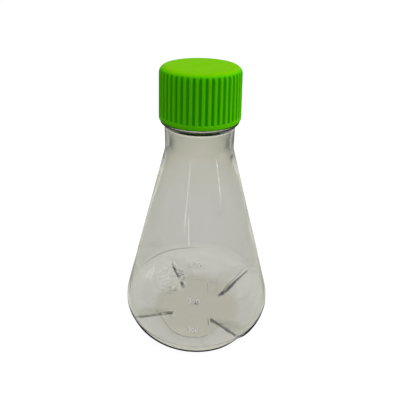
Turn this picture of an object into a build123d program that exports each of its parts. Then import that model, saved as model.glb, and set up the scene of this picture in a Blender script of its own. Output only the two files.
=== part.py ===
from build123d import *

import math
import os

# A baffled shake flask for growing cells: a blown clear bottle with a conical body,
# a green ribbed screw cap, and the sealing liner that the cap holds against the rim.
# Millimetres, +Z up. The axis of the flask is Z and the origin is the middle of its foot.

# Bottle: conical body
BASE_DIAMETER = 103.0  # over the widest part of the round heel
HEEL_RADIUS = 19.0  # outside round between foot and cone
SHOULDER_HEIGHT = 133.7  # where cone and neck would meet if the shoulder were sharp
SHOULDER_RADIUS = 14.0  # outside round of the shoulder
NECK_DIAMETER = 40.4
WALL = 1.4  # blown wall, the same in base, baffles and cone

# Bottle: pushed-up middle of the base
BASE_RISE = 1.2
STANDING_RING_WIDTH = 1.75  # flat ring that the bottle stands on, inside the heel's round
RECESS_SLOPE = 31.0  # degrees from level
RECESS_EDGE_RADIUS = 2.0  # outside round where the ring turns up
RECESS_TOP_RADIUS = 1.0  # outside round where the slope meets the raised middle

# Bottle: baffles, which are V-shaped folds pressed up into the body from below
BAFFLE_COUNT = 4
BAFFLE_FIRST_ANGLE = 33.5  # degrees from +X
BAFFLE_TIP_RADIUS = 18.0  # where the crest leaves the base
BAFFLE_HEIGHT = 15.5  # height of the crest at the widest radius
BAFFLE_ANGLE = 130.0  # between the two sides, square to the crest
BAFFLE_CREST_RADIUS = 1.0  # outside round of the fold
BAFFLE_EDGE_RADIUS = 2.0  # outside round where a fold meets the heel

# Bottle: neck ring and finish, the threaded end of the neck
NECK_LENGTH = 13.6  # plain neck, from the sharp shoulder to the underside of the ring
RIM_EDGE_RADIUS = 0.4
FINISH_WALL = 1.5  # under the thread; the bore is straight from the rim to the shoulder
RING_DIAMETER = 45.2
RING_HEIGHT = 1.4  # straight side of the ring
RING_TAPER = 3.05  # height of the sloped underside of the ring
RING_EDGE_RADIUS = 0.5

# Thread
THREAD_PITCH = 4.0
THREAD_TURNS = 2.25
THREAD_DEPTH = 1.0
THREAD_ROOT_WIDTH = 1.9
THREAD_CREST_WIDTH = 0.9
THREAD_CLEARANCE = 0.35  # between crest and root, in radius
THREAD_START_DROP = 3.0  # middle of the top turn below the rim

# Cap
CAP_FOOT_DIAMETER = 46.7  # over the ribs, at the lower edge
CAP_HEAD_DIAMETER = 44.5  # over the ribs, carried up to the top: the skirt has moulding draft
CAP_HEIGHT = 28.3
CAP_WALL = 1.0  # behind the grooves, where the skirt is thinnest
CAP_TOP_THICKNESS = 1.6
CAP_TOP_ROUND = 3.8
CAP_FOOT_ROUND = 0.7
CAP_MOUTH_CHAMFER = 0.5
CAP_BAND = 2.4  # plain band below the grooves
GROOVE_COUNT = 44
GROOVE_DEPTH = 0.6
GROOVE_RADIUS = 1.0
CAP_RING_GAP = 0.4  # between the cap's lower edge and the ring

# Liner
LINER_THICKNESS = 1.0
LINER_SIDE_GAP = 0.3  # between the liner's edge and the cap's wall
LINER_PLAY = 0.05  # between the liner and the cap's ceiling, so that the cap turns over it

# Overshoot of cutting bodies past what they cut, and bite of a thread into its wall
OVERSHOOT = 5.0
THREAD_BITE = 0.4

# Worked-out sizes
base_r = BASE_DIAMETER / 2
heel_r = base_r - HEEL_RADIUS
neck_r = NECK_DIAMETER / 2
ring_r = RING_DIAMETER / 2
cap_foot_r = CAP_FOOT_DIAMETER / 2
cap_head_r = CAP_HEAD_DIAMETER / 2
cap_bore_r = cap_head_r - GROOVE_DEPTH - CAP_WALL
thread_outer_r = cap_bore_r - THREAD_CLEARANCE
finish_r = thread_outer_r - THREAD_DEPTH
mouth_r = finish_r - FINISH_WALL
cap_thread_r = finish_r + THREAD_CLEARANCE
recess_r = heel_r - STANDING_RING_WIDTH
ring_foot = SHOULDER_HEIGHT + NECK_LENGTH
ring_side_foot = ring_foot + RING_TAPER
ring_top = ring_side_foot + RING_HEIGHT
cap_foot = ring_top + CAP_RING_GAP
cap_top = cap_foot + CAP_HEIGHT
cap_ceiling = cap_top - CAP_TOP_THICKNESS
rim_height = cap_ceiling - LINER_PLAY - LINER_THICKNESS
thread_start = rim_height - THREAD_START_DROP - THREAD_TURNS * THREAD_PITCH

# The cone is the straight line that touches the heel's arc and meets the neck at the
# shoulder height: the angle is that of its outward normal above level.
cone_angle = math.atan2(SHOULDER_HEIGHT - HEEL_RADIUS, neck_r - heel_r) - math.acos(
    HEEL_RADIUS / math.hypot(SHOULDER_HEIGHT - HEEL_RADIUS, neck_r - heel_r)
)


def cone_radius(height, inset):
    """Radius of the cone at a height, on the surface that lies inset inside the outer one."""
    reach = HEEL_RADIUS - inset - math.sin(cone_angle) * (height - HEEL_RADIUS)
    return heel_r + reach / math.cos(cone_angle)


def cone_height(radius, inset):
    """Height at which the cone, moved inwards by inset, has a radius."""
    reach = HEEL_RADIUS - inset - math.cos(cone_angle) * (radius - heel_r)
    return HEEL_RADIUS + reach / math.sin(cone_angle)


def body_corners(inset, shoulder_r):
    """Corners of the half section from the axis to the sharp shoulder, and their rounds."""
    slope = math.radians(RECESS_SLOPE)
    turn_up_r = recess_r + inset * math.tan(slope / 2)
    corners = [
        (0, BASE_RISE + inset),
        (turn_up_r - BASE_RISE / math.tan(slope), BASE_RISE + inset),
        (turn_up_r, inset),
        (cone_radius(inset, inset), inset),
        (shoulder_r, cone_height(shoulder_r, inset)),
    ]
    rounds = [
        RECESS_TOP_RADIUS + inset,
        max(RECESS_EDGE_RADIUS - inset, 0),
        HEEL_RADIUS - inset,
        SHOULDER_RADIUS + inset,
    ]
    return corners, rounds


def turned(corners, rounds):
    """Solid of revolution about Z of a half section that starts and ends on the axis."""
    points = [(r, 0, z) for r, z in corners]
    outline = FilletPolyline(*points, radius=rounds) + Line(points[-1], points[0])
    return revolve(make_face(outline), Axis.Z)


def bottle_outside():
    corners, rounds = body_corners(0, neck_r)
    corners += [
        (neck_r, ring_foot),
        (ring_r, ring_side_foot),
        (ring_r, ring_top),
        (finish_r, ring_top),
        (finish_r, rim_height),
        (0, rim_height),
    ]
    rounds += [RING_EDGE_RADIUS, RING_EDGE_RADIUS, RING_EDGE_RADIUS, 0, RIM_EDGE_RADIUS]
    return turned(corners, rounds)


def bottle_cavity():
    corners, rounds = body_corners(WALL, mouth_r)
    corners += [(mouth_r, rim_height + OVERSHOOT), (0, rim_height + OVERSHOOT)]
    return turned(corners, rounds + [0])


def baffle_fold(inset):
    """The V-shaped space under one baffle, along +X, grown by inset to shape the inner face.

    Its crest is a straight line that climbs from the raised base at the tip radius to the
    baffle's height at the widest radius, and its section square to the crest is a rounded V.
    """
    rise = BAFFLE_HEIGHT - BASE_RISE
    run = base_r - BAFFLE_TIP_RADIUS
    length = math.hypot(rise, run)
    along = Vector(run / length, 0, rise / length)
    half_angle = math.radians(BAFFLE_ANGLE / 2)
    crest_round = BAFFLE_CREST_RADIUS + inset
    apex = crest_round / math.sin(half_angle) - BAFFLE_CREST_RADIUS
    depth = base_r
    foot = depth * math.tan(half_angle)
    section_plane = Plane(
        origin=Vector(BAFFLE_TIP_RADIUS, 0, BASE_RISE) - along * BAFFLE_TIP_RADIUS,
        x_dir=(0, 1, 0),
        z_dir=along,
    )
    outline = FilletPolyline(
        (-foot, apex - depth), (0, apex), (foot, apex - depth), radius=[crest_round]
    )
    outline += Line((foot, apex - depth), (-foot, apex - depth))
    section = section_plane * make_face(outline)
    return extrude(section, amount=length + BAFFLE_TIP_RADIUS + 2 * OVERSHOOT)


def baffle_folds(inset):
    angles = [BAFFLE_FIRST_ANGLE + 360 * i / BAFFLE_COUNT for i in range(BAFFLE_COUNT)]
    fold = baffle_fold(inset)
    return [Rot(0, 0, angle) * fold for angle in angles]


def thread_ridge(root_r, crest_r, start_height):
    """A right-hand helical ridge of trapezoid section that stands on a wall of radius root_r."""
    path = Helix(THREAD_PITCH, THREAD_TURNS * THREAD_PITCH, root_r, center=(0, 0, start_height))
    bite_r = root_r - math.copysign(THREAD_BITE, crest_r - root_r)
    slant = (THREAD_ROOT_WIDTH - THREAD_CREST_WIDTH) / abs(crest_r - root_r)
    bite_width = THREAD_ROOT_WIDTH + slant * THREAD_BITE
    corners = [
        (bite_r, 0, start_height - bite_width / 2),
        (crest_r, 0, start_height - THREAD_CREST_WIDTH / 2),
        (crest_r, 0, start_height + THREAD_CREST_WIDTH / 2),
        (bite_r, 0, start_height + bite_width / 2),
    ]
    section = make_face(Polyline(*corners, close=True))
    return sweep(section, path=path, is_frenet=True)


def folded_up(solid, inset):
    """The solid with the baffles pressed into its base, rounded where they cross the heel."""
    folded = solid - baffle_folds(inset)
    crossings = [
        edge
        for edge in folded.edges()
        if edge.geom_type == GeomType.BSPLINE
        and edge.center().Z < BAFFLE_HEIGHT
        and edge.length > BAFFLE_HEIGHT
    ]
    return fillet(crossings, radius=BAFFLE_EDGE_RADIUS - inset)


def make_flask_body():
    """The whole clear bottle: one blown wall with baffles, neck ring and outside thread."""
    bottle = folded_up(bottle_outside(), 0) - folded_up(bottle_cavity(), WALL)
    return bottle + thread_ridge(finish_r, thread_outer_r, thread_start)


def make_screw_cap():
    """The moulded cap: plain round-edged top, grooved skirt, inside thread."""
    outline = [(0, cap_foot), (cap_foot_r, cap_foot), (cap_head_r, cap_top), (0, cap_top)]
    shell = turned(outline, [CAP_FOOT_ROUND, CAP_TOP_ROUND])
    draft = math.degrees(math.atan2(cap_foot_r - cap_head_r, CAP_HEIGHT))
    band_r = cap_foot_r - CAP_BAND * math.tan(math.radians(draft))
    groove = Cylinder(
        GROOVE_RADIUS,
        CAP_HEIGHT,
        align=(Align.CENTER, Align.CENTER, Align.MIN),
    )
    groove = Rot(0, -draft, 0) * groove
    groove = Pos(band_r - GROOVE_DEPTH + GROOVE_RADIUS, 0, cap_foot + CAP_BAND) * groove
    shell -= [Rot(0, 0, 360 * i / GROOVE_COUNT) * groove for i in range(GROOVE_COUNT)]
    bore = [
        (0, cap_foot - OVERSHOOT),
        (cap_bore_r + CAP_MOUTH_CHAMFER, cap_foot - OVERSHOOT),
        (cap_bore_r + CAP_MOUTH_CHAMFER, cap_foot),
        (cap_bore_r, cap_foot + CAP_MOUTH_CHAMFER),
        (cap_bore_r, cap_ceiling),
        (0, cap_ceiling),
    ]
    shell -= turned(bore, [0, 0, 0, 0])
    ridge = thread_ridge(cap_bore_r, cap_thread_r, thread_start - THREAD_PITCH / 2)
    return shell + ridge


def make_seal_liner():
    """The flat disc between the cap's ceiling and the rim of the bottle."""
    disc = Cylinder(
        cap_bore_r - LINER_SIDE_GAP,
        LINER_THICKNESS,
        align=(Align.CENTER, Align.CENTER, Align.MIN),
    )
    return Pos(0, 0, rim_height) * disc


os.makedirs("parts", exist_ok=True)
for node, solid in {
    "flask_body": make_flask_body(),
    "screw_cap": make_screw_cap(),
    "seal_liner": make_seal_liner(),
}.items():
    export_step(solid, f"parts/{node}.step")
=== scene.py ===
import math

import bpy
import numpy as np
from mathutils import Matrix, Vector


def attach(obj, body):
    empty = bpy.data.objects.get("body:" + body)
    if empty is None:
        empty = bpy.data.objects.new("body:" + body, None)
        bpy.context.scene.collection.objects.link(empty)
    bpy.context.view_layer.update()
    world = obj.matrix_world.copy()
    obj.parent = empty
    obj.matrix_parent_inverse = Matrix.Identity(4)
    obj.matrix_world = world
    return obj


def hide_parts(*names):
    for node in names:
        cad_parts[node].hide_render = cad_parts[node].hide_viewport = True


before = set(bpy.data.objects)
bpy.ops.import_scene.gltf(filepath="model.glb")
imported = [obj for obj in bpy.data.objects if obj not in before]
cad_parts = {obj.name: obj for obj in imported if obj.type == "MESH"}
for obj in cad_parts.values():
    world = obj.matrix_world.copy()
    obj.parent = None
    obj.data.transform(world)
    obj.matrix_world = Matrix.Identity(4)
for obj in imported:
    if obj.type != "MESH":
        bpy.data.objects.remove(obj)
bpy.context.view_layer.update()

# The looks of a baffled shake flask: a clear blown polycarbonate bottle, its moulded volume
# marks, a green ribbed screw cap and the foam liner in it. Sizes are in millimetres, as in the
# part's source, and MM turns them to metres where a mesh is made.

MM = 0.001

# Bottle body
BASE_RADIUS = 51.5
HEEL_RADIUS = 19.0
SHOULDER_HEIGHT = 133.7
SHOULDER_RADIUS = 14.0
NECK_RADIUS = 20.2
WALL = 1.4
SHOULDER_EXTRA_WALL = 0.5  # the blown wall is thicker where it was stretched least
BASE_RISE = 1.2
STANDING_RING_WIDTH = 1.75
RECESS_SLOPE = 13.0  # softer than in the solid, whose steep slope would mirror as an arc
RECESS_EDGE_RADIUS = 2.0
RECESS_TOP_RADIUS = 1.0
RECESS_INNER_ROUND = 5.0
BASE_ZONE = 4.0  # rows lower than this belong to the base
GATE_DIMPLE = 0.45  # depth of the hollow in the middle of the base
GATE_DIMPLE_WIDTH = 1.3
SHOULDER_EXTRA_REACH = 32.0  # how far down the cone the extra wall reaches
# How the blown wall wavers: its depth and two waves that climb round it in opposite directions,
# each by its number round the wall and the height in which it turns by one radian, with a shift
OUTER_WAVES = (0.03, (2, 17.0), (5, 11.0), 1.0)
INNER_WAVES = (0.06, (3, 13.0), (7, 9.0), 2.0)

# Baffles
BAFFLE_ANGLES = (33.5, 123.5, 213.5, 303.5)
BAFFLE_TIP_RADIUS = 18.0
BAFFLE_HEIGHT = 15.5
BAFFLE_ANGLE = 130.0
BAFFLE_CREST_RADIUS = 1.0
BAFFLE_EDGE_BLEND = 1.3
SKIN = 0.14  # the visual wall starts this far inside, so seams and waviness stay in the box
CREST_LINE_WIDTHS = (1.2, 0.62, 0.35)  # of the painted crest shade at tip, middle and heel
CREST_LINE_MIDDLE = 30.0
CREST_LINE_CORE = 2.2  # above 1, so that a line is solid in its middle and soft at its edges
CREST_LINE_FADE = 1.5  # at both ends of a stretch
# Painted shade along the baffles: angle, strength, and stretches by distance
# from the axis
CREST_SHADE_LINES = (
    (30.0, 1.0, ((19, 50),)),
    (123.5, 0.9, ((19, 25), (28, 39))),
    (213.5, 0.9, ((20, 26), (44, 51))),
    (303.5, 0.6, ((18, 51),)),
)

# Fainter lines of painted shade: strengths from 0 to 1, widths across, and angles in degrees
FAINT_LINE_WIDTH = 0.45
FOLD_FOOT_STRENGTH = 0.07
RECESS_EDGE_STRENGTH = 0.02  # all round the raised middle of the base
RECESS_FRONT_STRENGTH = 0.4  # and more of it at the front
RECESS_FRONT_ANGLE = 252.0
RECESS_FRONT_WIDTH = 22.0
GATE_STRENGTH = 0.75  # of a ring, and half of that on a spot in its middle
GATE_RING_RADIUS = 1.1
GATE_LINE_WIDTH = 0.5

# Wrinkled plastic by the baffles: angle, first and last distance along, and limits across
WRINKLES = (
    (123.5, 18.0, 45.0, -8.0, 14.0),
    (213.5, 18.0, 30.0, -5.0, 5.0),
    (303.5, 20.0, 50.0, -1.0, 3.0),
)
WRINKLE_TOP = 22.0
WRINKLE_EDGE = 2.0  # over which a patch fades out
# The folds that crumple it: length in millimetres, direction in degrees, shift in radians
CRUMPLE_FOLDS = ((5.3, 20, 0.3), (4.1, 75, 1.7), (6.7, 130, 0.9), (3.7, 165, 2.6))
CRUMPLE_DEPTH = 0.9  # between crease and bulge
CRUMPLE_MEAN = 2 / math.pi  # of |sin|

# Neck ring, finish and thread
RING_FOOT = 148.2
RING_SIDE_FOOT = 150.75
RING_TOP = 151.75
RING_RADIUS = 22.6
RING_EDGE_RADIUS = 0.5
RIM_HEIGHT = 177.8
RIM_EDGE_RADIUS = 0.4
RIM_INNER_ROUND = 0.15
FINISH_RADIUS = 19.3
MOUTH_RADIUS = 17.8
THREAD_PITCH = 4.0
THREAD_TURNS = 2.25
THREAD_DEPTH = 1.0
THREAD_ROOT_WIDTH = 1.9
THREAD_CREST_WIDTH = 0.9
THREAD_START = 165.8
THREAD_RUN_OUT = 0.02  # of a turn, over which the ridge rises and ends

# Mould marks on the bottle, and the light and shade painted along them, on the ring, below the
# ring and on the heel
SEAM_ANGLES = (100.0, 280.0)
SEAM_HEIGHT = 0.18
SEAM_TOP = 78.0  # above this the seams fade out
SEAM_FADE = 15.0
SEAM_WIDTH = 0.3
# A highlight is painted as a pale line up the far seam, on both faces
SEAM_GLINT_WIDTH = 0.4
SEAM_GLINT_FOOT = 20.0
SEAM_GLINT_TOP = 58.0
PARTING_HEIGHT = 18.0  # height of the line between the mould's halves and its base
PARTING_RISE = 0.1
PARTING_WIDTH = 0.25
# Where shade is painted along the parting line round the heel
PARTING_LINES = ((130.0, 40.0), (328.0, 28.0), (211.0, 24.0))  # middle and reach, in degrees
PARTING_FADE = 15.0  # degrees
DARK_LINE_STRENGTH = 0.85  # of the shade painted along the parting line and on the ring's side
RING_BAND_RISE = 0.3  # middle of the ring's painted dark band, above the foot of its side
RING_BAND_EDGE = 0.35
RING_FOOT_ROUND = 2.2
RING_REFRACTION_HEIGHT = 140.5  # where a brown refraction of the ring is painted under it
RING_REFRACTION_ANGLES = (214.0, 326.0)
RING_REFRACTION_STRENGTH = 0.45
RING_REFRACTION_WIDTH = 2.2
RING_REFRACTION_TALL = 3.0
HEEL_RIM_START = 4.0  # from the middle of the heel's round outwards, where a dark rim is painted
HEEL_RIM_TOP = 20.5

# Where each mask of the bottle's material is 0 and where it is 1: out_of_base is measured from
# the axis, and the others are heights
WALL_MASKS = {
    "out_of_base": (28, 36),
    "off_base": (8, 30),
    "above_heel": (12, 26),
    "below_neck": (135, 110),
    "on_neck": (122, 138),
    "above_foot": (147, 148),
    "below_finish": (153, 152),
}
POLYCARBONATE_IOR = 1.585

# Volume figures: text, height of the middle above the floor, and how tall they are
VOLUME_FIGURES = (("200", 31.0, 3.1), ("300", 50.5, 3.1), ("400", 73.5, 3.6))
FIGURE_ANGLE = 268.0
FIGURE_WIDTH = 0.6  # in heights of a figure
FIGURE_PITCH = 0.78  # likewise, from one middle to the next
FIGURE_STROKE = 0.42
FIGURE_RAISED = 0.2
BEAD_FOOT = 0.35  # how far a bead is sunk into the wall, in heights of the bead

# Cap
CAP_FOOT = 152.15
CAP_TOP = 180.45
CAP_CEILING = 178.85
CAP_FOOT_RADIUS = 23.35
CAP_HEAD_RADIUS = 22.25
CAP_BORE_RADIUS = 20.65
CAP_TOP_ROUND = 3.8
CAP_FOOT_ROUND = 0.7
CAP_MOUTH_CHAMFER = 0.5
CAP_BAND = 2.4
TOP_RING_RADIUS = 4.5  # of a faint sunk ring in the middle of the top
TOP_RING_DEPTH = 0.12
TOP_RING_WIDTH = 0.4
RIB_DEPTH = 0.45  # value of the "depth" attribute on the ribs, where a groove's floor has 1
GROOVE_COUNT = 44
GROOVE_COLUMNS = 14  # of points round the cap for each groove
GROOVE_DEPTH = 0.8
GROOVE_RADIUS = 0.95
GROOVE_EDGE_BLEND = 0.1
GROOVE_RUN_OUT = 0.5  # height in which a groove ends above the band
GROOVE_CLEARANCE = 0.3  # of a groove's floor outside the wall, where it has ended
GROOVED_FROM = 17.0  # radius on the head's round where the grooves begin
SIDE_SHADE_START = 0.3  # below the top, where the side's painted shade starts
SIDE_SHADE_FADE = 1.9

# Camera: metres and radians, and millimetres for its lens and sensor
CAMERA_PLACE = (0.001061, -0.20641, 0.22351)
CAMERA_TILT = 0.5511  # below level
CAMERA_ROLL = 0.0222
CAMERA_LENS = 33.753
SENSOR_WIDTH = 36.0

# Studio: metres and watts
FLOOR_REACH = 4.0
FLOOR_LEVEL = -0.0002  # just under the flask, so that their faces never coincide
FILL_STRENGTH = 0.55  # of the world's light on matte surfaces
OVERHEAD_STRENGTH = 0.25  # of the world overhead, as clear and glossy surfaces show it
LAMP_AIM = (0, 0, 0.1)
# Name, place, width, height and power
LAMPS = (
    ("top_softbox", (0.3, -0.3, 1.4), 2.2, 2.2, 14.0),
    ("right_softbox", (1.3, -0.2, 0.6), 0.8, 1.0, 6.0),
    ("left_strip", (-0.45, -0.89, 0.12), 0.03, 0.5, 0.12),
    ("right_strip", (0.84, -0.55, 0.2), 0.03, 0.3, 0.12),
)
LIGHT_BOUNCES = 24  # enough to pass through all the walls of a clear bottle
GLOSSY_BOUNCES = 12

heel_centre = BASE_RADIUS - HEEL_RADIUS
recess_radius = heel_centre - STANDING_RING_WIDTH
cone_angle = math.atan2(SHOULDER_HEIGHT - HEEL_RADIUS, NECK_RADIUS - heel_centre) - math.acos(
    HEEL_RADIUS / math.hypot(SHOULDER_HEIGHT - HEEL_RADIUS, NECK_RADIUS - heel_centre)
)


# Camera


def place_camera():
    """A camera before the flask and above it, tipped down and a little to one side."""
    data = bpy.data.cameras.new("camera")
    data.sensor_width = SENSOR_WIDTH
    data.lens = CAMERA_LENS
    data.clip_start = 0.01
    camera = bpy.data.objects.new("camera", data)
    bpy.context.scene.collection.objects.link(camera)
    camera.matrix_world = (
        Matrix.Translation(CAMERA_PLACE)
        @ Matrix.Rotation(math.pi / 2 - CAMERA_TILT, 4, "X")
        @ Matrix.Rotation(CAMERA_ROLL, 4, "Z")
    )
    bpy.context.scene.camera = camera


# Shapes


def rounded_path(corners, rounds, arc_step, line_steps):
    """Points along straight runs joined by arcs: each arc touches both runs of its corner.

    rounds has a radius for each inner corner, arc_step is the longest step along an arc, and
    line_steps the longest along each run.
    """
    corners = np.array(corners, float)
    arcs = []
    for before, corner, after, radius in zip(corners, corners[1:], corners[2:], rounds):
        back, on = before - corner, after - corner
        back, on = back / np.linalg.norm(back), on / np.linalg.norm(on)
        half = math.acos(np.clip(back @ on, -1, 1)) / 2
        if radius == 0:
            arcs.append(corner[None])
            continue
        centre = corner + (back + on) / np.linalg.norm(back + on) * radius / math.sin(half)
        start = corner + back * radius / math.tan(half)
        end = corner + on * radius / math.tan(half)
        turn = math.pi - 2 * half
        angles = np.linspace(0, turn, max(3, math.ceil(radius * turn / arc_step) + 1))
        to_start, to_end = start - centre, end - centre
        arcs.append(
            centre
            + (
                np.sin(turn - angles)[:, None] * to_start + np.sin(angles)[:, None] * to_end
            ) / math.sin(turn)
        )
    arcs = [corners[:1], *arcs, corners[-1:]]
    pieces = [arcs[0]]
    for done, arc, step in zip(arcs, arcs[1:], line_steps):
        run = arc[0] - done[-1]
        count = max(1, math.ceil(np.linalg.norm(run) / step))
        shares = np.linspace(0, 1, count + 1)[1:-1, None]
        pieces += [done[-1] + run * shares, arc]
    return np.concatenate(pieces)


def with_rows(path, near, at, rows):
    """A profile with rows put in before the one at an index, in place of those that are near."""
    return np.concatenate([path[:at][~near[:at]], rows, path[at:][~near[at:]]])


def carried_round(path, angles):
    """Radius and height of a profile's points at each angle: two arrays of rows by angles."""
    return (np.repeat(path[:, i : i + 1], len(angles), 1) for i in (0, 1))


def row_values(grid):
    """The values of a closed surface's points in order, with one for each pole."""
    rest = grid.shape[2:]
    return np.concatenate([grid[0, :1], grid[1:-1].reshape(-1, *rest), grid[-1, :1]])


def closed_mesh(name, surfaces):
    """A smooth mesh of closed surfaces, each a grid of rings by points round them.

    The first and the last ring of a grid lie on one point and become a pole, with a fan of
    triangles to the ring beside it. Between the other rings lie quads. All faces are turned
    outwards together, by the sign of the volume inside.
    """
    vertices, quads, fans, start = [], [], [], 0
    for surface in surfaces:
        rings, around = surface.shape[:2]
        here = np.arange(around)
        beside = np.roll(here, -1)
        foot = start + 1
        head = foot + (rings - 3) * around
        below = foot + np.arange(rings - 3)[:, None] * around
        above = below + around
        ring_quads = np.stack([below + here, below + beside, above + beside, above + here], -1)
        quads.append(ring_quads.reshape(-1, 4))
        fans.append(np.stack([np.full(around, start), foot + beside, foot + here], -1))
        fans.append(np.stack([np.full(around, head + around), head + here, head + beside], -1))
        vertices.append(row_values(surface))
        start += len(vertices[-1])
    vertices, quads, fans = (np.concatenate(part) for part in (vertices, quads, fans))
    corners = np.concatenate([quads[:, :3], quads[:, [0, 2, 3]], fans])
    a, b, c = (vertices[corners[:, i]] for i in range(3))
    if np.einsum("ij,ij->", a, np.cross(b, c)) < 0:
        quads, fans = quads[:, ::-1], fans[:, ::-1]
    mesh = bpy.data.meshes.new(name)
    mesh.from_pydata((vertices * MM).tolist(), [], quads.tolist() + fans.tolist())
    mesh.shade_smooth()
    made = bpy.data.objects.new(name, mesh)
    bpy.context.scene.collection.objects.link(made)
    return made


def lathed_mesh(name, radius, height, angles, attributes):
    """A closed surface whose rows go round Z from one pole to the other.

    radius and height are arrays of rows by angles, and attributes are named arrays of the same
    size, kept on the mesh's points.
    """
    grid = np.stack([radius * np.cos(angles), radius * np.sin(angles), height], -1)
    made = closed_mesh(name, [grid])
    for kept, values in attributes.items():
        kept = made.data.attributes.new(kept, "FLOAT", "POINT")
        kept.data.foreach_set("value", row_values(values))
    return made


def cone_radius(height, inset):
    """Radius of the cone at a height, on the surface that lies inset inside the outer one."""
    reach = HEEL_RADIUS - inset - math.sin(cone_angle) * (height - HEEL_RADIUS)
    return heel_centre + reach / math.cos(cone_angle)


def cone_height(radius, inset):
    """Height at which the cone, moved inwards by inset, has a radius."""
    reach = HEEL_RADIUS - inset - math.cos(cone_angle) * (radius - heel_centre)
    return HEEL_RADIUS + reach / math.sin(cone_angle)


def body_corners(inset, shoulder_radius):
    """Corners of the half section from the axis to the sharp shoulder, and their rounds."""
    slope = math.radians(RECESS_SLOPE)
    turn_up = recess_radius + inset * math.tan(slope / 2)
    corners = [
        (0, BASE_RISE + inset),
        (turn_up - BASE_RISE / math.tan(slope), BASE_RISE + inset),
        (turn_up, inset),
        (cone_radius(inset, inset), inset),
        (shoulder_radius, cone_height(shoulder_radius, inset)),
    ]
    rounds = [
        RECESS_TOP_RADIUS + inset,
        max(RECESS_EDGE_RADIUS - inset, 0.01),
        HEEL_RADIUS - inset,
        SHOULDER_RADIUS + inset,
    ]
    return corners, rounds


def outer_profile():
    """The bottle's outer half section, from the middle of the base up to the rim."""
    corners, rounds = body_corners(0, NECK_RADIUS)
    corners += [
        (NECK_RADIUS, RING_FOOT),
        (RING_RADIUS, RING_SIDE_FOOT),
        (RING_RADIUS, RING_TOP),
        (FINISH_RADIUS, RING_TOP),
        (FINISH_RADIUS, RIM_HEIGHT),
        (MOUTH_RADIUS, RIM_HEIGHT),
    ]
    rounds += [RING_FOOT_ROUND, RING_EDGE_RADIUS, RING_EDGE_RADIUS, 0, RIM_EDGE_RADIUS]
    path = rounded_path(corners, rounds, 0.9, [3, 1.2, 1, 3, 4, 4, 1.2, 1.5, 1.5, 0.5, 1])
    return path[:-1]


def inner_profile():
    """The bottle's inner half section, from the rim down to the middle of the base."""
    corners, rounds = body_corners(WALL, MOUTH_RADIUS)
    rounds[0] = RECESS_INNER_ROUND
    corners += [(MOUTH_RADIUS, RIM_HEIGHT), (MOUTH_RADIUS + 0.2, RIM_HEIGHT)]
    path = rounded_path(corners, rounds + [RIM_INNER_ROUND], 1.2, [3, 1.2, 1, 3, 4, 4, 1])
    # Rows close together at the gate and at the raised middle's edge.
    for first, last in ((0.4, 2.6), (recess_radius - 2, recess_radius + 2)):
        base = path[:, 1] < BASE_ZONE
        near = (path[:, 0] > first - 0.2) & (path[:, 0] < last + 0.2) & base
        at = int(np.flatnonzero((path[:, 0] > first) & base)[0])
        close = np.arange(first, last + 0.01, 0.35)
        level = np.interp(close, path[base, 0], path[base, 1])
        path = with_rows(path, near, at, np.stack([close, level], 1))
    return path[::-1]


def fold_height(radius, angles, inset):
    """Height of the baffle folds: straight crests that climb outwards between sloping sides.

    Height = crest line, less the side slope times the distance from the crest, which a small
    length rounds off at the top, and lifted square to the sides by inset.
    """
    rise, run = BAFFLE_HEIGHT - BASE_RISE, BASE_RADIUS - BAFFLE_TIP_RADIUS
    climb = rise / run
    side = math.cos(math.atan(climb)) / math.tan(math.radians(BAFFLE_ANGLE / 2))
    side = side * (1 + climb * climb)
    rounding = (BAFFLE_CREST_RADIUS + inset) * side
    lift = inset * math.sqrt(1 + climb**2 + side**2)
    heights = []
    for angle in BAFFLE_ANGLES:
        turn = angles - math.radians(angle)
        along, across = radius * np.cos(turn), radius * np.sin(turn)
        crest = BASE_RISE + climb * (along - BAFFLE_TIP_RADIUS)
        heights.append(crest - side * (np.hypot(across, rounding) - rounding) + lift)
    return np.max(heights, axis=0)


def smooth_max(a, b, blend):
    """The greater of two heights, with the corner between them rounded over about blend."""
    return (a + b + np.sqrt((a - b) ** 2 + blend**2)) / 2


def fade(distance, length):
    """0 up to a limit, and then up evenly to 1 at a length beyond it."""
    return np.clip(distance / length, 0, 1)


def ridge(offset, width):
    """A rounded ridge of height 1: a bell curve of the distance from its middle."""
    return np.exp(-((offset / width) ** 2))


def thread_height(angles, height, start):
    """Height of a screw ridge: the distance along Z from the nearest turn, through its section,
    which is flat at the crest and slopes evenly to the root."""
    half_root, half_crest = THREAD_ROOT_WIDTH / 2, THREAD_CREST_WIDTH / 2
    found = np.zeros(np.broadcast(angles, height).shape)
    for turn in range(math.ceil(THREAD_TURNS)):
        turned = angles / (2 * math.pi) + turn
        away = np.abs(height - start - THREAD_PITCH * turned)
        section = fade(half_root - away, half_root - half_crest)
        ends = fade(np.minimum(turned, THREAD_TURNS - turned), THREAD_RUN_OUT)
        found = np.maximum(found, section * ends)
    return THREAD_DEPTH * found


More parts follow.
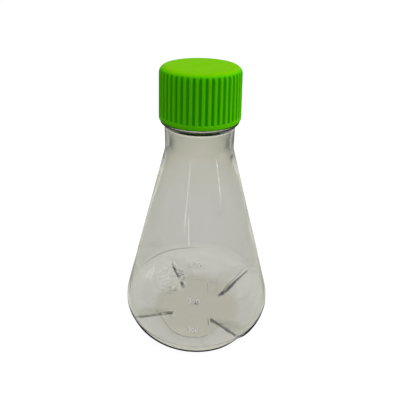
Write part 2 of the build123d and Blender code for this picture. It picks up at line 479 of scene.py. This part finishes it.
def crease_shade_strength(radius, height, angles):
    """How much shade is painted along creases of the inner face, from 0 to 1.

    A bell curve across each baffle's crest, wide by the middle and narrow at the heel and only
    over its listed stretches, and weaker ones along the folds' feet, round the raised middle,
    at the gate, and a painted refraction of the ring on the neck under it.
    """
    found = np.zeros(radius.shape)
    fold = fold_height(radius, angles, WALL)
    on_fold = fade(fold - height, 0.5)
    for angle, strength, stretches in CREST_SHADE_LINES:
        turn = angles - math.radians(angle)
        along, across = radius * np.cos(turn), radius * np.sin(turn)
        places = [BAFFLE_TIP_RADIUS, CREST_LINE_MIDDLE, BASE_RADIUS]
        width = np.interp(along, places, CREST_LINE_WIDTHS)
        for first, last in stretches:
            ends = fade(along - first, CREST_LINE_FADE) * fade(last - along, CREST_LINE_FADE)
            line = np.clip(CREST_LINE_CORE * ridge(across, width), 0, 1)
            found = np.maximum(found, strength * line * ends * on_fold)
    feet = ridge(height - fold, FAINT_LINE_WIDTH) * (height < BAFFLE_HEIGHT) * (radius > 20)
    found = np.maximum(found, FOLD_FOOT_STRENGTH * feet)
    on_base = height < BASE_ZONE
    front = ridge((angles - math.radians(RECESS_FRONT_ANGLE)) * radius, RECESS_FRONT_WIDTH)
    edge = ridge(radius - recess_radius, FAINT_LINE_WIDTH) * on_base
    found = np.maximum(found, (RECESS_EDGE_STRENGTH + RECESS_FRONT_STRENGTH * front) * edge)
    for angle in RING_REFRACTION_ANGLES:
        beside = ridge((angles - math.radians(angle)) * radius, RING_REFRACTION_WIDTH)
        level = ridge(height - RING_REFRACTION_HEIGHT, RING_REFRACTION_TALL)
        found = np.maximum(found, RING_REFRACTION_STRENGTH * beside * level)
    spot = 0.5 * ridge(radius, GATE_LINE_WIDTH)
    gate = ridge(radius - GATE_RING_RADIUS, GATE_LINE_WIDTH) + spot
    return np.maximum(found, GATE_STRENGTH * gate * on_base)


def wrinkle_strength(radius, height, angles):
    """Where the inner face is wrinkled, from 0 to 1: boxes with soft edges beside the baffles."""
    found = np.zeros(radius.shape)
    for angle, first, last, right, left in WRINKLES:
        turn = angles - math.radians(angle)
        along, across = radius * np.cos(turn), radius * np.sin(turn)
        inside = np.minimum.reduce([along - first, last - along, across - right, left - across])
        found = np.maximum(found, fade(inside, WRINKLE_EDGE))
    return found * (height < WRINKLE_TOP)


def crumpled(x, y):
    """Collapsed film, 0 in a crease and 1 on a bulge.

    It is the mean over some directions of |sin(pi * along / length + shift)|, where along is the
    distance in that direction, and each direction has its own length and shift.
    """
    found = np.zeros(x.shape)
    for length, degrees, shift in CRUMPLE_FOLDS:
        along = x * math.cos(math.radians(degrees)) + y * math.sin(math.radians(degrees))
        found = found + np.abs(np.sin(math.pi * along / length + shift))
    return found / len(CRUMPLE_FOLDS)


def outer_shade_lines(radius, height, angles):
    """Painted shade on the outer face, from 0 to 1: a dark band on the ring's side, and a dark
    line along the parting line.

    The ring's is flat across and steep at its edges; the parting line is a bell curve up the
    wall that fades out to both sides of each middle angle.
    """
    off_middle = np.abs(height - RING_SIDE_FOOT - RING_BAND_RISE)
    side = np.clip(1.5 - off_middle / RING_BAND_EDGE, 0, 1)
    found = DARK_LINE_STRENGTH * side * (radius > NECK_RADIUS + 0.8)
    line = ridge(height - PARTING_HEIGHT, PARTING_WIDTH) * (radius > heel_centre)
    for middle, reach in PARTING_LINES:
        turn = (np.degrees(angles) - middle + 180) % 360 - 180
        shown = fade(reach - np.abs(turn), PARTING_FADE)
        found = np.maximum(found, DARK_LINE_STRENGTH * line * shown)
    return found


def heel_strength(radius, height, angles):
    """Where a dark rim is painted on the heel's round, from 0 to 1, without the baffles' openings.
    """
    on_heel = fade(radius - heel_centre - HEEL_RIM_START, 3) * fade(HEEL_RIM_TOP - height, 4)
    return on_heel * fade(height - fold_height(radius, angles, 0), 0.6)


def seam_glint_strength(radius, height, angles):
    """A painted highlight up the far seam, from 0 to 1: a bell curve across it that fades at its
    ends.
    """
    line = ridge((angles - math.radians(SEAM_ANGLES[0])) * radius, SEAM_GLINT_WIDTH)
    return line * fade(height - SEAM_GLINT_FOOT, 4) * fade(SEAM_GLINT_TOP - height, 6)


def waviness(height, angles, waves):
    """How far the blown wall stands out: the sum of two sine waves that climb round it in
    opposite directions, and fade out towards the heel and the ring."""
    depth, (first_count, first_climb), (second_count, second_climb), shift = waves
    body = fade(height - PARTING_HEIGHT, 4) * fade(RING_FOOT - height, 6)
    return depth * body * (
        np.sin(first_count * angles + height / first_climb)
        + np.sin(second_count * angles - height / second_climb + shift)
    )


def bottle_angles():
    """Angles of the bottle's columns, in radians: even, and closer at baffles and seams."""
    even = np.arange(0, 360, 1.5)
    near_crest = np.arange(-6.5, 6.6, 0.5)
    near_seam = np.arange(-1.25, 1.3, 0.25)
    close = [(angle + near_crest) % 360 for angle in BAFFLE_ANGLES]
    close += [(angle + near_seam) % 360 for angle in SEAM_ANGLES]
    return np.radians(np.unique(np.concatenate([even, *close]).round(3)))


def outer_face(angles):
    """Radius and height of the outer face before folds and thread: the section carried round Z,
    with a ridge along the seams and the parting line, moved in by SKIN, and a wavering wall."""
    path = outer_profile()
    # Rows close together at the parting line.
    line = PARTING_HEIGHT + np.arange(-0.6, 0.61, 0.15)
    reach = heel_centre + np.sqrt(HEEL_RADIUS**2 - (HEEL_RADIUS - line) ** 2)
    heel = (path[:, 0] > heel_centre + 2) & (path[:, 1] < 24)
    near = heel & (np.abs(path[:, 1] - PARTING_HEIGHT) < 0.7)
    at = int(np.flatnonzero(heel & (path[:, 1] > PARTING_HEIGHT))[0])
    path = with_rows(path, near, at, np.stack([reach, line], 1))

    radius, height = carried_round(path, angles)
    wall = (height > PARTING_HEIGHT) & (height < RING_FOOT)
    for seam in SEAM_ANGLES:
        turn = (angles - math.radians(seam) + math.pi) % (2 * math.pi) - math.pi
        line = ridge(turn * radius, SEAM_WIDTH) * wall * fade(SEAM_TOP - height, SEAM_FADE)
        radius = radius + SEAM_HEIGHT * line
    parting = ridge(height - PARTING_HEIGHT, PARTING_WIDTH) * (radius > heel_centre)
    radius = radius + PARTING_RISE * parting
    radius = radius - SKIN * (radius > heel_centre + 10)
    return radius + waviness(height, angles, OUTER_WAVES), height


def inner_face(angles):
    """Radius and height of the inner face before the folds: the section carried round Z, with
    more wall by the shoulder, which fades out towards the mouth's radius, and a wavering wall."""
    radius, height = carried_round(inner_profile(), angles)
    thicker = np.where(
        height < SHOULDER_HEIGHT,
        ridge(height - SHOULDER_HEIGHT, SHOULDER_EXTRA_REACH),
        fade(RING_SIDE_FOOT - height, RING_SIDE_FOOT - SHOULDER_HEIGHT),
    )
    off_mouth = 1 - np.exp(-np.maximum(radius - MOUTH_RADIUS, 0) / 2.0)
    radius = radius - SHOULDER_EXTRA_WALL * thicker * off_mouth
    return radius + waviness(height, angles, INNER_WAVES), height


def make_bottle():
    """The bottle: an outer and an inner face, lifted at the baffles, with a thread outside and
    wrinkles inside. Four attributes say where light and shade are painted on its plastic and where
    it is wrinkled."""
    angles = bottle_angles()
    outer, inner = outer_face(angles), inner_face(angles)
    wrinkles = [wrinkle_strength(*face, angles) for face in (outer, inner)]
    attributes = {
        "crease": [outer_shade_lines(*outer, angles), crease_shade_strength(*inner, angles)],
        "wrinkle": wrinkles,
        "heel_rim": [heel_strength(*outer, angles), np.zeros(inner[0].shape)],
        "seam_glint": [seam_glint_strength(*face, angles) for face in (outer, inner)],
    }

    radius, height = outer
    threaded = (height > RING_TOP + 0.01) & (radius > MOUTH_RADIUS + 0.5)
    radius = radius + thread_height(angles, height, THREAD_START) * threaded
    dimple = ridge(radius, GATE_DIMPLE_WIDTH) * (height < RECESS_EDGE_RADIUS)
    height = height - GATE_DIMPLE * dimple
    height = smooth_max(height, fold_height(radius, angles, 0), BAFFLE_EDGE_BLEND)

    inner_radius, inner_height = inner
    inner_height = smooth_max(
        inner_height, fold_height(inner_radius, angles, WALL), BAFFLE_EDGE_BLEND
    )
    film = crumpled(inner_radius * np.cos(angles), inner_radius * np.sin(angles))
    inner_height = inner_height + CRUMPLE_DEPTH * wrinkles[1] * (film - CRUMPLE_MEAN)
    return lathed_mesh(
        "bottle",
        np.concatenate([radius, inner_radius]),
        np.concatenate([height, inner_height]),
        angles,
        {name: np.concatenate(values) for name, values in attributes.items()},
    )


def make_cap():
    """The cap: a half section carried round Z, its side cut by round grooves along the draft.

    A groove's floor is an arc about a line outside the wall, and the side is the smaller of wall
    and floor, rounded where they meet. The bore carries the same screw ridge as the neck, half a
    pitch lower, and the "depth" attribute says how far down in a groove a point lies.
    """
    corners = [
        (0, CAP_TOP),
        (CAP_HEAD_RADIUS, CAP_TOP),
        (CAP_FOOT_RADIUS, CAP_FOOT),
        (CAP_BORE_RADIUS + CAP_MOUTH_CHAMFER, CAP_FOOT),
        (CAP_BORE_RADIUS, CAP_FOOT + CAP_MOUTH_CHAMFER),
        (CAP_BORE_RADIUS, CAP_CEILING),
        (0, CAP_CEILING),
    ]
    path = rounded_path(
        corners, [CAP_TOP_ROUND, CAP_FOOT_ROUND, 0, 0, 0.3], 0.4, [2.2, 1.2, 1, 1, 0.8, 4]
    )
    # Rows close together over the faint ring in the middle of the top.
    close = np.arange(TOP_RING_RADIUS - 1.2, TOP_RING_RADIUS + 1.3, 0.2)
    flat = (path[:, 1] > CAP_TOP - 0.01) & (path[:, 0] > close[0]) & (path[:, 0] < close[-1])
    at = int(np.flatnonzero((path[:, 0] > close[0]) & (path[:, 1] > CAP_TOP - 0.01))[0])
    ring = np.stack([close, np.full(len(close), CAP_TOP)], 1)
    path = with_rows(path, flat, at, ring)
    outside = np.arange(len(path)) < np.argmin(path[:, 1])
    # Rows close together at the foot of the grooves, where they stop.
    stop = CAP_FOOT + CAP_BAND + np.array([0.5, 0.25, 0.0, -0.1])
    draft = (CAP_FOOT_RADIUS - CAP_HEAD_RADIUS) / (CAP_TOP - CAP_FOOT)
    side = np.stack([CAP_FOOT_RADIUS - draft * (stop - CAP_FOOT), stop], 1)
    at = int(np.flatnonzero(outside & (path[:, 1] < stop[-1]))[0])
    near = outside & (np.abs(path[:, 1] - stop.mean()) < 0.45)
    path = with_rows(path, near, at, side)
    outside = np.arange(len(path)) < np.argmin(path[:, 1])

    angles = np.linspace(0, 2 * math.pi, GROOVE_COUNT * GROOVE_COLUMNS, endpoint=False)
    radius, height = carried_round(path, angles)
    pitch = 2 * math.pi / GROOVE_COUNT
    turn = (angles + pitch / 2) % pitch - pitch / 2
    wall = CAP_FOOT_RADIUS - draft * (height - CAP_FOOT)
    across = turn * wall
    round_part = np.sqrt(np.maximum(GROOVE_RADIUS**2 - across**2, 0))
    floor = wall - GROOVE_DEPTH + GROOVE_RADIUS - round_part
    above_band = fade(height - CAP_FOOT - CAP_BAND + 0.1, GROOVE_RUN_OUT)
    above_band = above_band * above_band * (3 - 2 * above_band)
    floor = wall + GROOVE_CLEARANCE + (floor - wall - GROOVE_CLEARANCE) * above_band
    cut = -smooth_max(-radius, -floor, GROOVE_EDGE_BLEND)
    grooved = outside[:, None] & (height > CAP_FOOT + 1.5) & (radius > GROOVED_FROM)
    radius = np.where(grooved, cut, radius)
    bore = (~outside)[:, None] & (radius > CAP_BORE_RADIUS - 0.1) & (height < CAP_CEILING - 1)
    start = THREAD_START - THREAD_PITCH / 2
    radius = radius - thread_height(angles, height, start) * bore
    top_ring = ridge(radius - TOP_RING_RADIUS, TOP_RING_WIDTH) * (height > CAP_TOP - 1)
    height = height - TOP_RING_DEPTH * top_ring
    # Where shade is painted on the cap's side: none on the top, some on the ribs and most on a
    # groove's floor.
    below_top = fade(CAP_TOP - SIDE_SHADE_START - height, SIDE_SHADE_FADE) * outside[:, None]
    depth = RIB_DEPTH + (1 - RIB_DEPTH) * fade(wall - radius, GROOVE_DEPTH)
    return lathed_mesh("ribbed_cap", radius, height, angles, {"depth": below_top * depth})


# Raised marks


def arc(x, y, wide, high, first, last):
    """Points along part of an ellipse, between two angles in degrees."""
    t = np.radians(np.linspace(first, last, 17))
    return np.stack([x + wide * np.cos(t), y + high * np.sin(t)], 1)


def strokes(figure):
    """The strokes of a plain figure in a box one high and FIGURE_WIDTH wide."""
    return {
        "0": [arc(0.3, 0.5, 0.26, 0.46, 90, 450)],
        "2": [np.concatenate([arc(0.3, 0.7, 0.24, 0.26, 165, -35), [(0.04, 0.04), (0.56, 0.04)]])],
        "3": [arc(0.28, 0.73, 0.22, 0.23, 150, -90), arc(0.28, 0.27, 0.26, 0.23, 90, -150)],
        "4": [np.array([(0.43, 0.02), (0.43, 0.96), (0.04, 0.3), (0.58, 0.3)])],
    }[figure]


def stroke_bead(line):
    """A half-round bead along a flat line, one ring of points for each of its points.

    A ring's points are half a stroke times cosine aside and the bead's height times sine up, but
    no deeper than its foot. Both ends close to a point half a stroke beyond the line.
    """
    along = np.gradient(line, axis=0)
    along /= np.linalg.norm(along, axis=1)[:, None]
    aside = np.stack([-along[:, 1], along[:, 0]], 1)
    beyond = along[[0, -1]] * FIGURE_STROKE / 2
    ends = np.concatenate([line[:1] - beyond[:1], line, line[-1:] + beyond[1:]])
    aside = np.concatenate([aside[:1] * 0, aside, aside[:1] * 0])
    size = np.ones(len(ends))
    size[[0, -1]] = 0.0
    t = np.linspace(0, 2 * math.pi, 8, endpoint=False)
    flat = ends[:, None] + aside[:, None] * (np.cos(t) * FIGURE_STROKE / 2)[None, :, None]
    up = np.maximum(np.sin(t), -BEAD_FOOT)[None] * FIGURE_RAISED * size[:, None]
    return np.concatenate([flat, up[..., None]], -1)


def on_wall(points, azimuth, height):
    """Lays flat points on the bottle: across goes round the wall, up goes along its section from
    a height, and the third number stands square to it."""
    # The section from where it leaves the floor up to the ring, and the length along it.
    wall = outer_profile()
    wall = wall[(wall[:, 0] > heel_centre - 20) & (wall[:, 1] < RING_FOOT)]
    wall = wall[int(np.argmax(wall[:, 1] < 0.001)) :]
    length = np.concatenate([[0], np.cumsum(np.linalg.norm(np.diff(wall, axis=0), axis=1))])
    on_cone = wall[:, 1] > 0.5
    start = np.interp(height, wall[on_cone, 1], length[on_cone])
    place = start + points[..., 1]
    radius, level = (np.interp(place, length, wall[:, i]) for i in (0, 1))
    step = 0.5
    ahead, behind = (
        np.stack([np.interp(place + way, length, wall[:, i]) for i in (0, 1)], -1)
        for way in (step, -step)
    )
    along = ahead - behind
    along /= np.linalg.norm(along, axis=-1)[..., None]
    turn = math.radians(azimuth) + points[..., 0] / radius
    radius = radius + points[..., 2] * along[..., 1]
    level = level - points[..., 2] * along[..., 0]
    return np.stack([radius * np.cos(turn), radius * np.sin(turn), level], -1)


def make_marks():
    """The volume figures, one over the other on the front of the wall: each row of them is
    centred on its middle, and every stroke is a raised bead."""
    beads = []
    for text, height, tall in VOLUME_FIGURES:
        for index, figure in enumerate(text):
            middle = (index - (len(text) - 1) / 2) * FIGURE_PITCH
            shift = (middle - FIGURE_WIDTH / 2, -0.5)
            for line in strokes(figure):
                beads.append(on_wall(stroke_bead((line + shift) * tall), FIGURE_ANGLE, height))
    return closed_mesh("volume_marks", beads)


# Materials


def linear(hex_colour):
    """An sRGB hex colour as linear red, green, blue and 1."""
    values = [int(hex_colour[i : i + 2], 16) / 255 for i in (1, 3, 5)]
    return [v / 12.92 if v <= 0.04045 else ((v + 0.055) / 1.055) ** 2.4 for v in values] + [1.0]


def add(tree, kind, inputs=None, **settings):
    """Adds a node: settings are its properties, inputs its sockets' values or links."""
    made = tree.nodes.new(kind)
    for name, value in settings.items():
        setattr(made, name, value)
    for name, value in (inputs or {}).items():
        if isinstance(value, bpy.types.NodeSocket):
            tree.links.new(value, made.inputs[name])
        else:
            made.inputs[name].default_value = value
    return made


def new_material(name):
    """A material without nodes, and the tree that they go into."""
    material = bpy.data.materials.new(name)
    material.use_nodes = True
    material.node_tree.nodes.clear()
    return material, material.node_tree


def grain(tree, size, detail=2.0):
    """Noise on Object coordinates whose features are size millimetres across."""
    place = add(tree, "ShaderNodeTexCoord").outputs["Object"]
    return add(
        tree, "ShaderNodeTexNoise", {"Vector": place, "Scale": 1000.0 / size, "Detail": detail}
    ).outputs["Fac"]


def blown_polycarbonate():
    """Polycarbonate, stretched and blown: clear and hard with a faint grey tint, warmer where
    the wall was stretched least, nearly sharp reflections that waver with the wall, and fine
    scuffs. Light and shade are painted on it: pale highlights where it is wrinkled and up the
    far seam, dark shade along the creases, the parting line and the ring's side, green on the
    ring where it is looked through sideways, a brown refraction of the ring under it, and a dark
    rim on the heel where it is seen edge-on. The coat bends no light: its tint takes more the
    flatter the wall is looked through, which draws the bottle's dark outline."""
    material, tree = new_material("polycarbonate_blown_clear")

    # Where the wall is what: by its attributes, by height and by distance from the axis.
    masks = {
        name: add(tree, "ShaderNodeAttribute", attribute_name=name).outputs["Fac"]
        for name in ("crease", "wrinkle", "heel_rim", "seam_glint")
    }
    place = add(tree, "ShaderNodeTexCoord").outputs["Object"]
    level = add(tree, "ShaderNodeSeparateXYZ", {"Vector": place}).outputs["Z"]
    flat = add(tree, "ShaderNodeVectorMath", {0: place, 1: (1, 1, 0)}, operation="MULTIPLY")
    away = add(tree, "ShaderNodeVectorMath", {0: flat.outputs["Vector"]}, operation="LENGTH")
    for name, (start, end) in WALL_MASKS.items():
        value = away.outputs["Value"] if name == "out_of_base" else level
        masks[name] = add(
            tree,
            "ShaderNodeMapRange",
            {"Value": value, "From Min": start * MM, "From Max": end * MM},
        ).outputs["Result"]

    # Folds of crumpled film, painted highlights as thin lines between them, scuffs, and gaps in
    # the painted crease shade.
    folds = grain(tree, 4.0, 2.5)
    centred = add(tree, "ShaderNodeMath", {0: folds, 1: 0.5}, operation="SUBTRACT").outputs[0]
    off_glint_line = add(tree, "ShaderNodeMath", {0: centred}, operation="ABSOLUTE").outputs[0]
    facing = add(tree, "ShaderNodeLayerWeight", {"Blend": 0.5}).outputs["Facing"]
    for name, value, start, end, low, high in (
        ("glint_line", off_glint_line, 0.03, 0.01, 0.0, 1.0),
        ("scuffs", grain(tree, 3.0, 6.0), 0.45, 0.8, 0.02, 0.06),
        ("broken", grain(tree, 2.6, 3.0), 0.4, 0.52, 0.5, 1.0),
        ("grazing", facing, 0.66, 0.78, 0.0, 1.0),
    ):
        masks[name] = add(
            tree,
            "ShaderNodeMapRange",
            {"Value": value, "From Min": start, "From Max": end, "To Min": low, "To Max": high},
        ).outputs["Result"]
    for name, operation, first, second in (
        ("wrinkle_glints", "MULTIPLY", "glint_line", "wrinkle"),
        ("painted_glints", "MAXIMUM", "wrinkle_glints", "seam_glint"),
        ("above_base", "MAXIMUM", "out_of_base", "off_base"),
        ("stretched", "MULTIPLY", "above_base", "below_neck"),
        ("on_ring", "MULTIPLY", "above_foot", "below_finish"),
        ("whole", "MAXIMUM", "broken", "on_ring"),
        ("painted_shade", "MULTIPLY", "crease", "whole"),
        ("lighter", "MAXIMUM", "on_ring", "painted_glints"),
        ("below_ring", "SUBTRACT", "on_neck", "on_ring"),
        ("rim", "MULTIPLY", "grazing", "heel_rim"),
    ):
        masks[name] = add(
            tree, "ShaderNodeMath", {0: masks[first], 1: masks[second]}, operation=operation
        ).outputs[0]

    # Each colour is an earlier one or a new one, and over it another where its mask is 1.
    colours = {}
    for name, mask, under, over in (
        ("side", "above_heel", "#EDECE9", "#E4E3E4"),
        ("wall", "stretched", "#E0DFD3", "side"),
        ("neck", "on_neck", "wall", "#FFFFF8"),
        ("plain", "lighter", "neck", "#FFFFFB"),
        # Painted shade: near black, with a painted brown refraction of the ring on the neck, and
        # dark green on the ring's side.
        ("shade_and_refraction", "on_neck", "#050503", "#4A3422"),
        ("painted_dark", "on_ring", "shade_and_refraction", "#1C3004"),
        ("body", "painted_shade", "plain", "painted_dark"),
        # Painted highlight: a whiter coat along the glints.
        ("pale", "painted_glints", "#F9F9F7", "#FFFFFF"),
        ("upper", "below_ring", "pale", "#E9E9E7"),
        # Painted shade: a dark coat tint on the heel's round where it is seen edge-on.
        ("clear", "rim", "upper", "#4E4E46"),
        ("coat", "painted_shade", "clear", "painted_dark"),
    ):
        under, over = (colours[c] if c in colours else linear(c) for c in (under, over))
        colours[name] = add(
            tree, "ShaderNodeMix", {"Factor": masks[mask], "A": under, "B": over}, data_type="RGBA"
        ).outputs["Result"]

    waver = add(
        tree,
        "ShaderNodeBump",
        {"Height": grain(tree, 9.0, 1.0), "Strength": 0.12, "Distance": 0.0004},
    )
    raised = add(tree, "ShaderNodeMath", {0: centred, 1: masks["wrinkle"]}, operation="MULTIPLY")
    wrinkled = add(
        tree,
        "ShaderNodeBump",
        {
            "Height": raised.outputs[0],
            "Strength": 1.0,
            "Distance": 0.002,
            "Normal": waver.outputs["Normal"],
        },
    )
    shader = add(
        tree,
        "ShaderNodeBsdfPrincipled",
        {
            "Base Color": colours["body"],
            "Transmission Weight": 1.0,
            "IOR": POLYCARBONATE_IOR,
            "Roughness": masks["scuffs"],
            "Coat Weight": 1.0,
            "Coat IOR": 1.0,
            "Coat Tint": colours["coat"],
            "Normal": wrinkled.outputs["Normal"],
        },
    )
    add(tree, "ShaderNodeOutputMaterial", {"Surface": shader.outputs["BSDF"]})
    return material


def frosted_polycarbonate():
    """The same polycarbonate where the mould was engraved: a soft, slightly frosted surface."""
    material, tree = new_material("polycarbonate_engraved_frosted")
    bump = add(
        tree,
        "ShaderNodeBump",
        {"Height": grain(tree, 0.4), "Strength": 0.5, "Distance": 0.0001},
    )
    shader = add(
        tree,
        "ShaderNodeBsdfPrincipled",
        {
            "Base Color": linear("#FFFFFF"),
            "Transmission Weight": 0.45,
            "IOR": POLYCARBONATE_IOR,
            "Roughness": 0.35,
            "Normal": bump.outputs["Normal"],
        },
    )
    add(tree, "ShaderNodeOutputMaterial", {"Surface": shader.outputs["BSDF"]})
    return material


def moulded_polyethylene():
    """High-density polyethylene, injection moulded: a saturated yellow green, satin, with a little
    light inside it and the fine even grain of the mould, and painted shade: a deeper green down
    its side and deeper still in its grooves."""
    material, tree = new_material("polyethylene_moulded_green")
    bump = add(
        tree,
        "ShaderNodeBump",
        {"Height": grain(tree, 0.5, 3.0), "Strength": 0.25, "Distance": 0.0001},
    )
    mottle = add(
        tree,
        "ShaderNodeMix",
        {
            "Factor": grain(tree, 7.0, 2.0),
            "A": linear("#70BF00"),
            "B": linear("#76C400"),
        },
        data_type="RGBA",
    )
    depth = add(tree, "ShaderNodeAttribute", attribute_name="depth").outputs["Fac"]
    off_top = add(tree, "ShaderNodeMapRange", {"Value": depth, "From Max": RIB_DEPTH})
    in_groove = add(tree, "ShaderNodeMapRange", {"Value": depth, "From Min": RIB_DEPTH})
    # Painted shade: the side a deeper green than the top, and deeper still in the grooves.
    side = add(
        tree,
        "ShaderNodeMix",
        {"Factor": in_groove.outputs[0], "A": linear("#59C704"), "B": linear("#24A400")},
        data_type="RGBA",
    )
    colour = add(
        tree,
        "ShaderNodeMix",
        {"Factor": off_top.outputs[0], "A": mottle.outputs["Result"], "B": side.outputs["Result"]},
        data_type="RGBA",
    )
    shader = add(
        tree,
        "ShaderNodeBsdfPrincipled",
        {
            "Base Color": colour.outputs["Result"],
            "Roughness": 0.5,
            "IOR": 1.49,
            "Specular IOR Level": 0.004,
            "Subsurface Weight": 0.15,
            "Subsurface Radius": (0.4, 1.0, 0.1),
            "Subsurface Scale": 0.001,
            "Normal": bump.outputs["Normal"],
        },
    )
    add(tree, "ShaderNodeOutputMaterial", {"Surface": shader.outputs["BSDF"]})
    return material


def foamed_polyethylene():
    """Polyethylene foam sheet, punched: white, matte, with the shallow cells of its skin."""
    material, tree = new_material("polyethylene_foam_white")
    bump = add(
        tree,
        "ShaderNodeBump",
        {"Height": grain(tree, 0.6, 3.0), "Strength": 0.6, "Distance": 0.0002},
    )
    shader = add(
        tree,
        "ShaderNodeBsdfPrincipled",
        {
            "Base Color": linear("#E9E9E4"),
            "Roughness": 0.75,
            "IOR": 1.51,
            "Normal": bump.outputs["Normal"],
        },
    )
    add(tree, "ShaderNodeOutputMaterial", {"Surface": shader.outputs["BSDF"]})
    return material


def seen_directly(tree):
    """1 for what the camera sees itself, in a reflection or through clear plastic."""
    rays = add(tree, "ShaderNodeLightPath").outputs
    seen = rays["Is Camera Ray"]
    for other in ("Is Glossy Ray", "Is Transmission Ray"):
        seen = add(
            tree, "ShaderNodeMath", {0: seen, 1: rays[other]}, operation="MAXIMUM"
        ).outputs[0]
    return seen


def matte_floor():
    """White painted board: it shows white, and a little less in the object's soft shadow."""
    material, tree = new_material("painted_board_white")
    glow = add(
        tree,
        "ShaderNodeEmission",
        {"Color": linear("#F8F8F8"), "Strength": seen_directly(tree)},
    )
    paint = add(tree, "ShaderNodeBsdfDiffuse", {"Color": linear("#606060")})
    both = add(tree, "ShaderNodeAddShader", {0: paint.outputs[0], 1: glow.outputs[0]})
    add(tree, "ShaderNodeOutputMaterial", {"Surface": both.outputs[0]})
    return material


# Studio


def make_studio():
    """A large floor, a white world that is darker overhead, and soft lamps."""
    corners = ((-1, -1), (1, -1), (1, 1), (-1, 1))
    mesh = bpy.data.meshes.new("floor")
    mesh.from_pydata(
        [(x * FLOOR_REACH, y * FLOOR_REACH, FLOOR_LEVEL) for x, y in corners], [], [(0, 1, 2, 3)]
    )
    floor = bpy.data.objects.new("floor", mesh)
    bpy.context.scene.collection.objects.link(floor)
    floor.data.materials.append(matte_floor())

    world = bpy.data.worlds.new("studio")
    world.use_nodes = True
    bpy.context.scene.world = world
    tree = world.node_tree
    tree.nodes.clear()
    direction = add(tree, "ShaderNodeTexCoord").outputs["Generated"]
    parts = add(tree, "ShaderNodeSeparateXYZ", {"Vector": direction})
    overhead = add(
        tree,
        "ShaderNodeMapRange",
        {
            "Value": parts.outputs["Z"],
            "From Min": 0.1,
            "From Max": 0.5,
            "To Min": 1.0,
            "To Max": OVERHEAD_STRENGTH,
        },
        interpolation_type="SMOOTHSTEP",
    )
    camera_ray = add(tree, "ShaderNodeLightPath").outputs["Is Camera Ray"]
    fill = add(
        tree,
        "ShaderNodeMix",
        {"Factor": seen_directly(tree), "A": FILL_STRENGTH, "B": overhead.outputs["Result"]},
    )
    strength = add(
        tree,
        "ShaderNodeMath",
        {0: fill.outputs["Result"], 1: camera_ray},
        operation="MAXIMUM",
    )
    background = add(
        tree, "ShaderNodeBackground", {"Color": linear("#FFFFFF"), "Strength": strength.outputs[0]}
    )
    add(tree, "ShaderNodeOutputWorld", {"Surface": background.outputs[0]})

    for name, place, wide, high, power in LAMPS:
        lamp = bpy.data.lights.new(name, "AREA")
        lamp.shape = "RECTANGLE"
        lamp.size, lamp.size_y, lamp.energy = wide, high, power
        made = bpy.data.objects.new(name, lamp)
        bpy.context.scene.collection.objects.link(made)
        turned = (Vector(place) - Vector(LAMP_AIM)).to_track_quat("Z", "Y")
        made.matrix_world = Matrix.Translation(place) @ turned.to_matrix().to_4x4()

    scene = bpy.context.scene
    scene.view_settings.view_transform = "Standard"
    scene.cycles.max_bounces = LIGHT_BOUNCES
    scene.cycles.transmission_bounces = LIGHT_BOUNCES
    scene.cycles.glossy_bounces = GLOSSY_BOUNCES


# Making

place_camera()
make_studio()

bottle = make_bottle()
bottle.data.materials.append(blown_polycarbonate())
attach(bottle, "flask")
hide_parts("flask_body")

marks = make_marks()
marks.data.materials.append(frosted_polycarbonate())
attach(marks, "flask")

cap = make_cap()
cap.data.materials.append(moulded_polyethylene())
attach(cap, "cap")
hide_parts("screw_cap")

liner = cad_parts["seal_liner"]
foam = foamed_polyethylene()
for liner_slot in liner.material_slots:
    liner_slot.material = foam

for piece in (bottle, marks, cap):
    print(piece.name, "quads and triangles:", len(piece.data.polygons))
